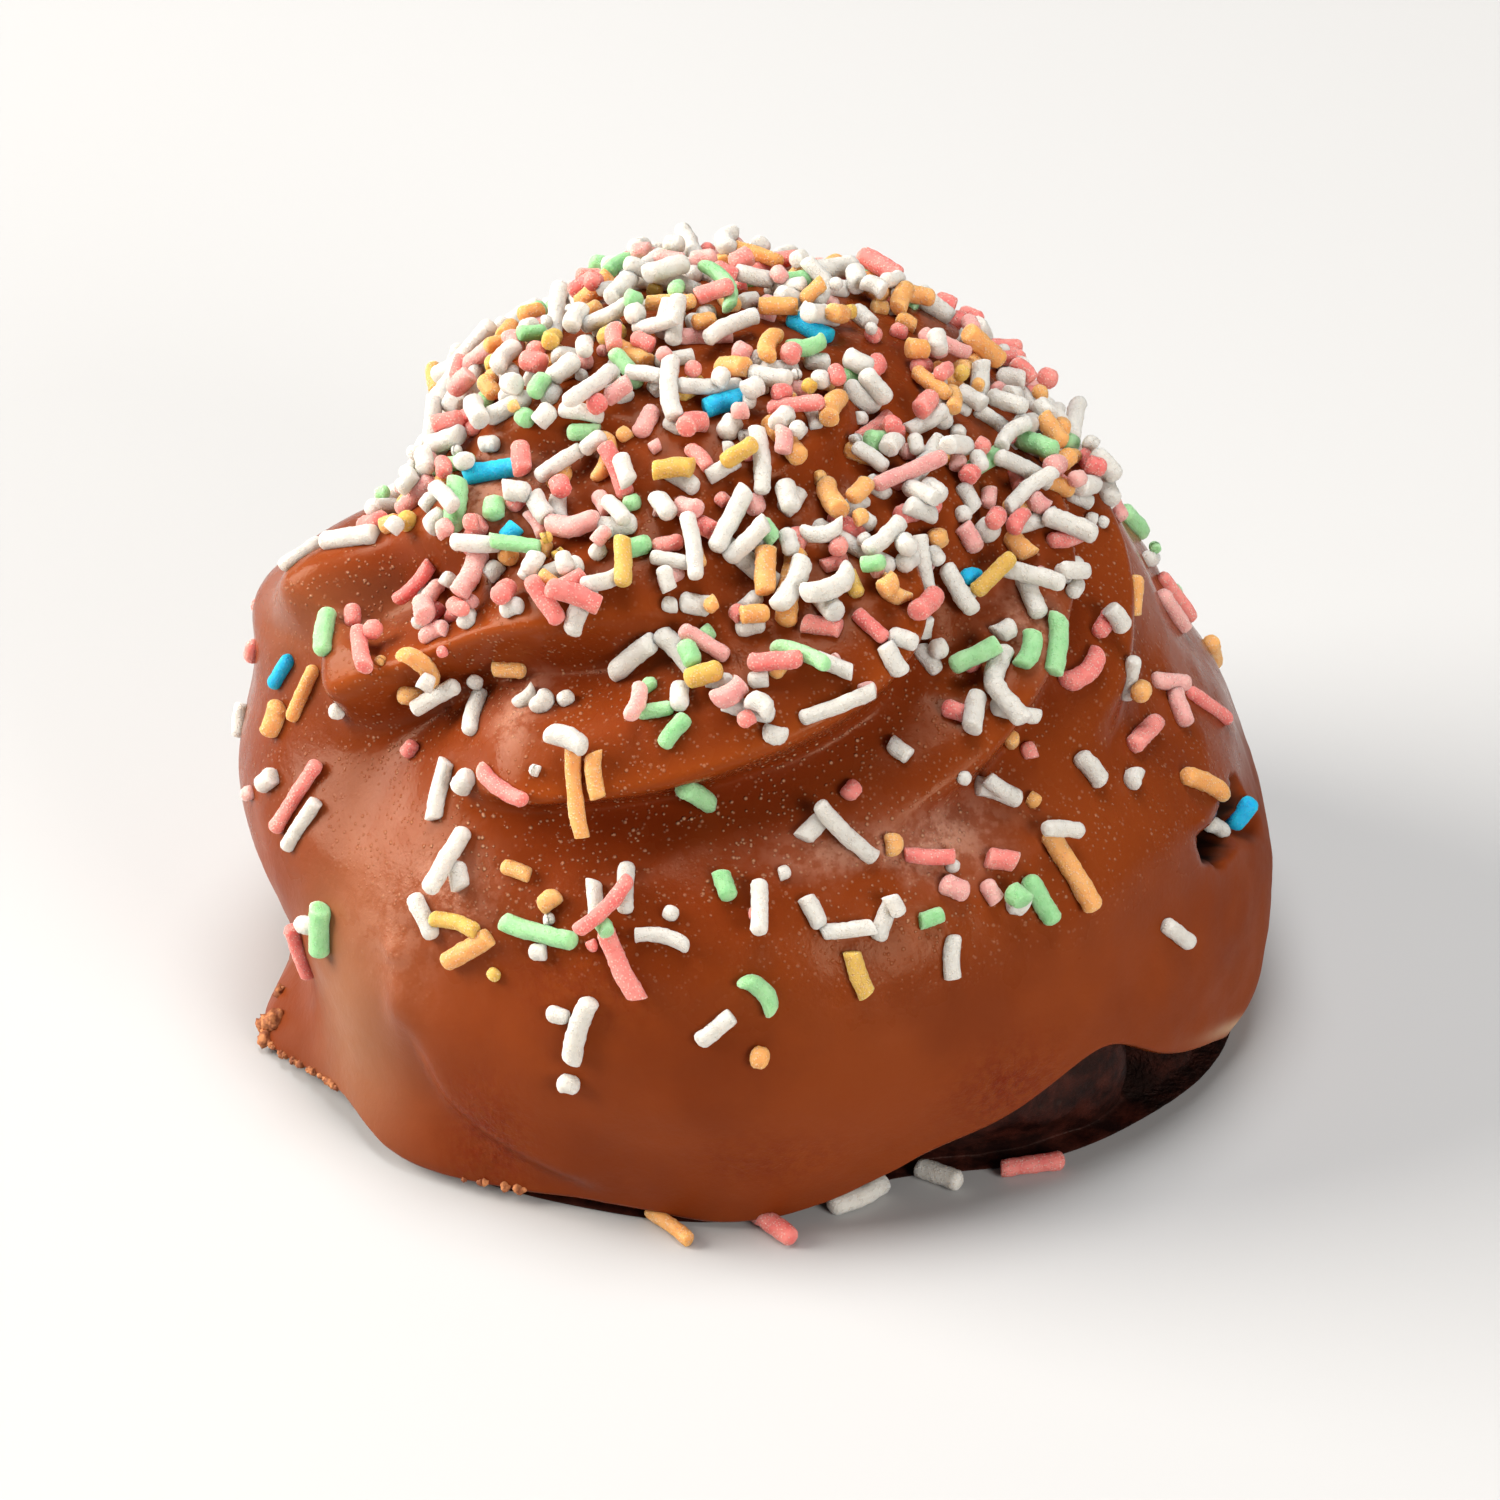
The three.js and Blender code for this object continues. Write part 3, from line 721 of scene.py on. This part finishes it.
def sugar(name, colour, second, grain):
    """Pressed sugar in two tones under pale crystals, more of them the grainier it is."""
    m = Shader(name)
    mottle = m.ramp(m.noise(1.6, 4, 0.6), 0, 1, 0.35, 0.7)
    tone = m.times(m.math("ADD", mottle, m.attribute("tone")), 0.5)
    crystal = m.ramp(m.cells(7.0), 1, 0, 0.12, 0.42)
    colour = m.blend(tone, colour, second)
    colour = m.blend(m.times(crystal, 0.45 * grain), colour, srgb(246, 226, 212))
    m.feed("Base Color", colour)
    m.feed("Roughness", m.ramp(m.noise(4.0, 3), 0.5, 0.75, 0.3, 0.7))
    m.set(subsurface_weight=0.85, subsurface_radius=(1.0, 0.9, 0.8), subsurface_scale=0.9 * MM)
    m.set(specular_ior_level=0.35)
    grains = m.times(crystal, 0.03 + 0.04 * grain)
    m.bump(m.math("ADD", grains, m.times(m.noise(4.0, 4, 0.6), 0.06)))
    return m.material


def crumb_material():
    m = Shader("brown_crumb")
    colour = m.blend(m.ramp(m.noise(2.4, 4), 0, 1, 0.35, 0.65), srgb(128, 66, 32), srgb(196, 126, 76))
    m.feed("Base Color", colour)
    m.set(roughness=0.8)
    m.bump(m.times(m.noise(3.0, 4, 0.6), 0.12))
    return m.material


# ---------------------------------------------------------------- swirl and cake

def zones(rows, angle, height):
    """The sum of soft spots: angle, height, half angle, half height and share."""
    return sum(share * bell(turn(angle - at) / wide) * bell((height - place) / tall)
               for at, place, wide, tall, share in rows)


def swirl_inside(angle, edge, outer):
    """Rings of the hollow for the cake, from its roof down to the rim, and round it to the outside."""
    roof = CAKE_HEIGHT + GAP
    corner = socket_point(angle, CAKE_HEIGHT)
    inner = socket_point(angle, edge)
    drops = [RIM_DROP * math.sin(math.pi * k) ** 0.7 for k in RIM_STEPS]
    return [
        np.array([(0, CAKE_CENTRE_Y, roof)]),
        corner * (0.5, 0.5, 0) + (0, 0, roof),
        corner * (1, 1, 0) + (0, 0, roof),
        *[socket_point(angle, mix(CAKE_HEIGHT, edge, k)) for k in SOCKET_STEPS],
        inner,
        *[mix(inner, outer, k) - (0, 0, drop) for k, drop in zip(RIM_STEPS, drops)],
    ]


def swirl_fields(angle, height, edge, crest, groove, hole):
    """What the chocolate's material reads at each point of the outside."""
    bloom_and_sheen = np.clip(zones(BLOOM_AND_SHEEN, angle, height), 0, 1)
    everywhere = smooth((height - BEADS_FROM) / BEADS_FADE) * (BEADS_SHARE + BEADS_IN_GROOVE * groove)
    beads = np.clip(everywhere + zones(BEADED, angle, height), 0, 1)
    side_at, side_half, side_more = SATIN_SIDE
    more_satin = 1 + side_more * bell(turn(angle - side_at) / side_half)
    cream_at, cream_half, above_edge, cream_tall = CREAM
    cream_height = height - edge - above_edge
    return {
        "crest": crest,
        "groove": groove,
        "bloom_and_sheen": bloom_and_sheen,
        "beads": np.maximum(beads, BEADS_IN_BLOOM * bloom_and_sheen),
        "milky_sheen": zones(MILKY_SHEEN, angle, height),
        "painted_shade": np.clip(zones(PAINTED_SHADE, angle, height), 0, 1),
        "mottled": np.clip(zones(MOTTLED, angle, height), 0, 1),
        "satin": smooth((SATIN_HEIGHT - height) / SATIN_FADE) * more_satin,
        # The hole's share, where the material paints the shade inside it.
        "hole": smooth(3 * hole),
        "cream": bell(turn(angle - cream_at) / cream_half) * bell(cream_height / cream_tall),
    }


def make_swirl(material):
    angle = np.arange(SWIRL_SEGMENTS) * 360 / SWIRL_SEGMENTS
    edge = edge_height(angle)
    steps = np.linspace(0, 1, SWIRL_RINGS)
    share = mix(share_at(edge)[None, :], 1.0, steps[:, None])
    around = np.broadcast_to(angle, share.shape)
    points, crest, groove, hole = swirl_surface(around, share)
    inside = swirl_inside(angle, edge, points[0])
    crown = points[-1].mean(0, keepdims=True)
    vertices, faces = closed_skin([*inside, *points[:-1], crown])
    obj = mesh_object("milk_chocolate_swirl", vertices, faces, material)
    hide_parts("chocolate_swirl")
    hidden = np.zeros(1 + SWIRL_SEGMENTS * (len(inside) - 1))
    for name, field in swirl_fields(around, points[..., 2], edge, crest, groove, hole).items():
        paint(obj, name, np.concatenate([hidden, field[:-1].ravel(), field[-1][:1]]))
    return obj


def make_cake(material):
    angle = np.arange(CAKE_SEGMENTS) * 360 / CAKE_SEGMENTS
    section = uniform_spline(CAKE_SECTION, np.linspace(0, 1, CAKE_RINGS))
    section[:, 0] = np.clip(section[:, 0], 0, CAKE_HEIGHT)
    crumbly_from, crumbly_fade = CAKE_CRUMBLY
    crumbly = smooth(turn(angle - crumbly_from) / crumbly_fade)
    rings = []
    for height, share in section:
        crack = bulge([CAKE_CRACK], angle) * smooth(height / CAKE_CRACK_WHOLE)
        radius = share * (cake_radius(angle, height) - crack)
        ring = cake_at(angle, radius, height)
        side = smooth((share - CAKE_SIDE_FROM) / CAKE_SIDE_FADE) * smooth(height / CAKE_FOOT_FADE)
        if 0 < share:
            bumps = sum(mix(low, high, crumbly) * relief(ring, size, 1, 5 + k)
                        for k, (size, low, high) in enumerate(CAKE_BUMPS))
            ring = cake_at(angle, radius + side * np.minimum(bumps, CAKE_BUMP_MOST), height)
        rings.append(ring)
    vertices, faces = closed_skin(rings)
    obj = mesh_object("cake_round", vertices, faces, material)
    around = np.degrees(np.arctan2(vertices[:, 1] - CAKE_CENTRE_Y, vertices[:, 0]))
    # Where the crack is, for its painted shade.
    paint(obj, "crack", bell(turn(around - CAKE_CRACK[0]) / (0.8 * CAKE_CRACK[1])))
    paint(obj, "crumbly", smooth(turn(around - crumbly_from) / crumbly_fade))
    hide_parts("cake_base")


# ---------------------------------------------------------------- sugar strands

def unit(v):
    return v / np.linalg.norm(v)


class Strand:
    """One sugar strand: a rough, slightly bent rod, its ends broken flat or rounded."""

    def __init__(self, rng, length, colour):
        self.colour = colour
        self.length = length
        self.radius = min(STRAND_RADIUS * rng.uniform(*STRAND_THICKNESS), SHORT_RADIUS * length)
        bent = rng.random() < BENT_SHARE
        self.bend = rng.uniform(-BENT_MOST, BENT_MOST) if bent else rng.gauss(0, BENT_USUAL)
        self.phase = rng.uniform(0, 100)
        self.tone = rng.random()
        self.ends = [self.end_shape(rng) for _ in range(2)]

    def end_shape(self, rng):
        """One of the two kinds of end, and the slant of the break."""
        if rng.random() < FLAT_SHARE:
            return FLAT_END, rng.uniform(-FLAT_SLANT, FLAT_SLANT)
        return ROUND_END, 0

    def sideways(self, x):
        s = 2 * x / self.length
        return self.bend * self.length * 0.5 * (1 - s * s)

    def balls(self):
        """Places along the strand where balls of its radius fill it."""
        reach = max(self.length / 2 - self.radius, 0)
        count = max(2, round(2 * reach / BALL_STEP) + 1)
        return np.linspace(-reach, reach, count)

    def end_rows(self, shape, slant, outward):
        """Rings of one end from the tip inward: place along the strand, share of the radius, slant."""
        tip = outward * self.length / 2
        depths = [(x * self.radius * 2, share) for x, share in shape]
        return [(tip - outward * depth, share, slant) for depth, share in depths if depth < STRAND_MARGIN]

    def mesh(self, centre, along, side, up):
        """The strand's skin round its middle, given its three directions."""
        start, end = self.ends
        reach = self.length / 2 - STRAND_MARGIN
        body = np.linspace(-reach, reach, max(3, round(self.length / STRAND_RING)))
        rows = [*self.end_rows(*start, -1), *((x, 1, 0) for x in body), *self.end_rows(*end, 1)[::-1]]
        angles = 2 * math.pi * np.arange(STRAND_SIDES) / STRAND_SIDES
        large, small = STRAND_LUMPS
        rings = []
        for x, share, slant in rows:
            places = [Vector((x * 1.5 + self.phase, math.cos(a) * 0.6, math.sin(a) * 0.6)) for a in angles]
            rough = np.array([1 + large * noise.noise(p) + small * noise.noise(p * 3.1) for p in places])
            y = np.cos(angles) * self.radius * share * rough
            z = np.sin(angles) * self.radius * share * rough
            forward = np.outer(x + slant * y, along)
            rings.append(centre + forward + np.outer(y + self.sideways(x), side) + np.outer(z, up))
        rings[0] = rings[0].mean(0, keepdims=True)
        rings[-1] = rings[-1].mean(0, keepdims=True)
        return closed_skin(rings)


class Scatter:
    """Lays strands on the swirl and on each other."""

    def __init__(self, swirl):
        self.tree = BVHTree.FromPolygons(
            [v.co / MM for v in swirl.data.vertices], [tuple(p.vertices) for p in swirl.data.polygons])
        self.places = np.zeros((0, 3))
        self.radii = np.zeros(0)
        self.made = {name: [] for name in SUGARS}

    def ground(self, point, up):
        """Height of the chocolate over the point, along up."""
        start = Vector(point + up * RAY_REACH)
        hit, _, _, distance = self.tree.ray_cast(start, Vector(-up), 2 * RAY_REACH)
        return None if hit is None else RAY_REACH - distance

    def need(self, strand, place, up):
        """Height that a ball of the strand has to keep over the place."""
        ground = self.ground(place, up)
        if ground is None:
            return None
        need = ground + strand.radius - SUNK
        away = self.places - place
        height = away @ up
        aside = (away * away).sum(1) - height * height
        touch = (strand.radius + self.radii - PRESSED) ** 2 - aside
        near = (touch > 0) & (height > -BALLS_BELOW)
        if near.any():
            need = max(need, float((height[near] + np.sqrt(touch[near])).max()))
        return need

    def add(self, strand, centre, along, side, up):
        self.made[strand.colour].append((*strand.mesh(centre, along, side, up), strand.tone))

    def lay(self, strand, centre, up, heading, pile_limit, steepest):
        """Rests the strand on two supports, one each side of its middle, unless it is too high or steep."""
        along = unit(heading - up * (heading @ up))
        across = np.cross(up, along)
        stops = strand.balls()
        needs = [self.need(strand, centre + along * x + across * strand.sideways(x), up) for x in stops]
        if None in needs:
            return
        middle, slope = rest_line(stops, needs)
        ground = self.ground(centre, up)
        if ground is None or middle - ground - strand.radius > pile_limit or abs(slope) > steepest:
            return
        centre = centre + up * middle
        along = unit(along + up * slope)
        self.add(strand, centre, along, across, np.cross(along, across))
        balls = np.array([centre + along * x + across * strand.sideways(x) for x in stops])
        self.places = np.vstack([self.places, balls])
        self.radii = np.concatenate([self.radii, np.full(len(balls), strand.radius)])


def rest_line(stops, needs):
    """Height at the middle and slope of the lowest line over all the needs."""
    best = (max(needs), 0.0)
    for i, a in enumerate(stops):
        for j, b in enumerate(stops):
            if a > 0 or b < 0 or b - a < LEAST_SPAN:
                continue
            slope = (needs[j] - needs[i]) / (b - a)
            middle = needs[i] - slope * a
            clear = all(middle + slope * x >= need - CLEAR for x, need in zip(stops, needs))
            if clear and middle < best[0]:
                best = (middle, slope)
    return best


def on_surface(angle, height, heading):
    """Place, normal and direction of a heading on the swirl's smooth surface."""
    share = share_at(height)
    up = smooth_normal(angle, share)
    turned = math.radians(angle)
    level = np.array([-math.sin(turned), math.cos(turned), 0])
    h = math.radians(heading)
    return smooth_point(angle, share), up, level * math.cos(h) + np.cross(up, level) * math.sin(h)


def lay_key_strands(scatter, rng):
    for colour, angle, height, heading, length in KEY_STRANDS:
        strand = Strand(rng, length, colour)
        strand.bend *= KEY_BEND
        scatter.lay(strand, *on_surface(angle, height, heading), KEY_PILE_LIMIT, KEY_STEEPEST)


def lay_sunk_strand(scatter, rng):
    colour, angle, height, heading, length, depth = SUNK_STRAND
    strand = Strand(rng, length, colour)
    place, up, along = on_surface(angle, height, heading)
    along = unit(along - up * (along @ up))
    scatter.add(strand, place - up * depth, along, np.cross(up, along), up)


def lay_foot_strands(scatter, rng):
    """The strands that lie at the foot, half under the chocolate."""
    up = np.array([0, 0, 1.0])
    for k, colour in enumerate(FOOT_COLOURS):
        strand = Strand(rng, rng.uniform(*FOOT_LENGTHS), colour)
        angle = FOOT_START + k * FOOT_STEP
        out = cake_radius(angle, 0) + rng.uniform(*FOOT_OUT)
        along = unit(np.array([rng.uniform(0.6, 1), rng.uniform(-1, 1), 0]))
        centre = cake_at(angle, out, strand.radius * 1.1)
        scatter.add(strand, centre, along, np.cross(up, along), up)


def density(angle, height, level):
    """How likely a strand stays at a place; level is how far the place faces up."""
    top = smooth((height - TOP_FROM) / TOP_FADE) * smooth((level - LEVEL_FROM) / LEVEL_FADE)
    for row in BARE:
        top *= 1 - zones([row], angle, height)
    return top + zones(LOOSE, angle, height)


def strand_length(rng):
    roll = rng.random()
    limits = next((shortest, longest) for share, shortest, longest in STRAND_LENGTHS if roll < share)
    return rng.uniform(*limits)


def scatter_strands(swirl):
    rng = random.Random(SEED)
    scatter = Scatter(swirl)
    lay_key_strands(scatter, rng)
    lay_sunk_strand(scatter, rng)
    lay_foot_strands(scatter, rng)
    names = list(SUGARS)
    weights = [SUGARS[name][0] for name in names]
    polygons = swirl.data.polygons
    for k in rng.choices(range(len(polygons)), [p.area for p in polygons], k=STRAND_TRIES):
        centre = np.array(polygons[k].center) / MM
        normal = np.array(polygons[k].normal)
        angle = math.degrees(math.atan2(centre[1], centre[0])) % 360
        chance = rng.random()
        strand = Strand(rng, strand_length(rng), rng.choices(names, weights)[0])
        heading = np.array([rng.gauss(0, 1) for _ in range(3)])
        if chance < density(angle, centre[2], normal[2]):
            scatter.lay(strand, centre, unit(normal + (0, 0, LEAN_UP)), heading, PILE_LIMIT, STEEPEST)
    return scatter.made


def join(parts):
    """One mesh from many, with each part's tone at its vertices."""
    vertices, faces, tones, start = [], [], [], 0
    for v, f, tone in parts:
        vertices.append(v)
        faces += [tuple(i + start for i in face) for face in f]
        tones += [tone] * len(v)
        start += len(v)
    return np.vstack(vertices), faces, tones


def lump(centre, size, seed):
    """A ragged ball."""
    rings = []
    offset = Vector((seed, 0, 0))
    large, small = CRUMB_LUMPS
    angles = np.radians(np.arange(CRUMB_SIDES) * 360 / CRUMB_SIDES)
    for turned in np.linspace(-90, 90, CRUMB_RINGS):
        level, rise = math.cos(math.radians(turned)), math.sin(math.radians(turned))
        ways = np.stack([level * np.cos(angles), level * np.sin(angles), rise + 0 * angles], -1)
        rough = [1 + large * noise.noise(Vector(w) * 1.4 + offset) + small * noise.noise(Vector(w) * 4)
                 for w in ways]
        rings.append(centre + size * ways * np.array(rough)[:, None])
    rings[0] = rings[0].mean(0, keepdims=True)
    rings[-1] = rings[-1].mean(0, keepdims=True)
    return closed_skin(rings)


def make_crumbs(material):
    """Each crumb sits half sunk in the chocolate."""
    rng = random.Random(SEED + 1)
    parts = []
    for middle, height, wide, tall, largest, count in CRUMB_HEAPS:
        for _ in range(count):
            size = largest * rng.uniform(0.4, 1)
            angle = np.array([middle + rng.uniform(-1, 1) * wide])
            place = np.array([max(height + rng.uniform(-1, 1) * tall, edge_height(angle[0]))])
            centre = swirl_surface(angle, share_at(place))[0][0]
            centre[2] = max(centre[2], size)
            parts.append((*lump(centre, size, 5 * len(parts)), 0))
    vertices, faces, _ = join(parts)
    obj = mesh_object("brown_crumbs", vertices, faces, material)


def make_strands(swirl):
    made = scatter_strands(swirl)
    for name, (_, colour, second, grain) in SUGARS.items():
        vertices, faces, tones = join(made[name])
        material = sugar("sugar_" + name, srgb(*colour), srgb(*second), grain)
        obj = mesh_object("sugar_" + name, vertices, faces, material)
        paint(obj, "tone", tones)


# ---------------------------------------------------------------- stage, light and camera

def soft_light(name, place, size, watts, colour):
    data = bpy.data.lights.new(name, "AREA")
    data.shape = "DISK"
    data.size = size
    data.energy = watts
    data.color = colour
    obj = bpy.data.objects.new(name, data)
    obj.location = place
    obj.rotation_euler = (Vector(LIGHT_TARGET) - Vector(place)).to_track_quat("-Z", "Y").to_euler()
    bpy.context.scene.collection.objects.link(obj)


def make_stage():
    floor_material = Shader("pale_floor")
    floor_material.set(base_color=(FLOOR_GREY, FLOOR_GREY, FLOOR_GREY, 1), roughness=0.9)
    mesh = bpy.data.meshes.new("floor")
    far = FLOOR_SIDE / 2
    mesh.from_pydata([(-far, -far, 0), (far, -far, 0), (far, far, 0), (-far, far, 0)], [], [(0, 1, 2, 3)])
    mesh.materials.append(floor_material.material)
    floor = bpy.data.objects.new("floor", mesh)
    bpy.context.scene.collection.objects.link(floor)
    world = bpy.data.worlds.new("studio")
    world.use_nodes = True
    background = world.node_tree.nodes["Background"]
    background.inputs["Color"].default_value = (1, 1, 1, 1)
    background.inputs["Strength"].default_value = WORLD_STRENGTH
    bpy.context.scene.world = world
    for light in LIGHTS:
        soft_light(*light)


def make_camera():
    e = math.radians(CAMERA_ELEVATION)
    target = Vector(CAMERA_TARGET) * MM
    back = Vector((0, -math.cos(e), math.sin(e)))
    data = bpy.data.cameras.new("camera")
    data.lens = CAMERA_LENS
    data.sensor_width = 36
    data.clip_start = 0.01
    data.clip_end = 20
    camera = bpy.data.objects.new("camera", data)
    camera.location = target + back * CAMERA_DISTANCE * MM
    camera.rotation_euler = (-back).to_track_quat("-Z", "Y").to_euler()
    bpy.context.scene.collection.objects.link(camera)
    bpy.context.scene.camera = camera


make_camera()
make_stage()
bpy.context.scene.view_settings.view_transform = "Standard"
swirl = make_swirl(milk_chocolate())
make_cake(dark_cake())
make_strands(swirl)
make_crumbs(crumb_material())
bpy.context.view_layer.update()
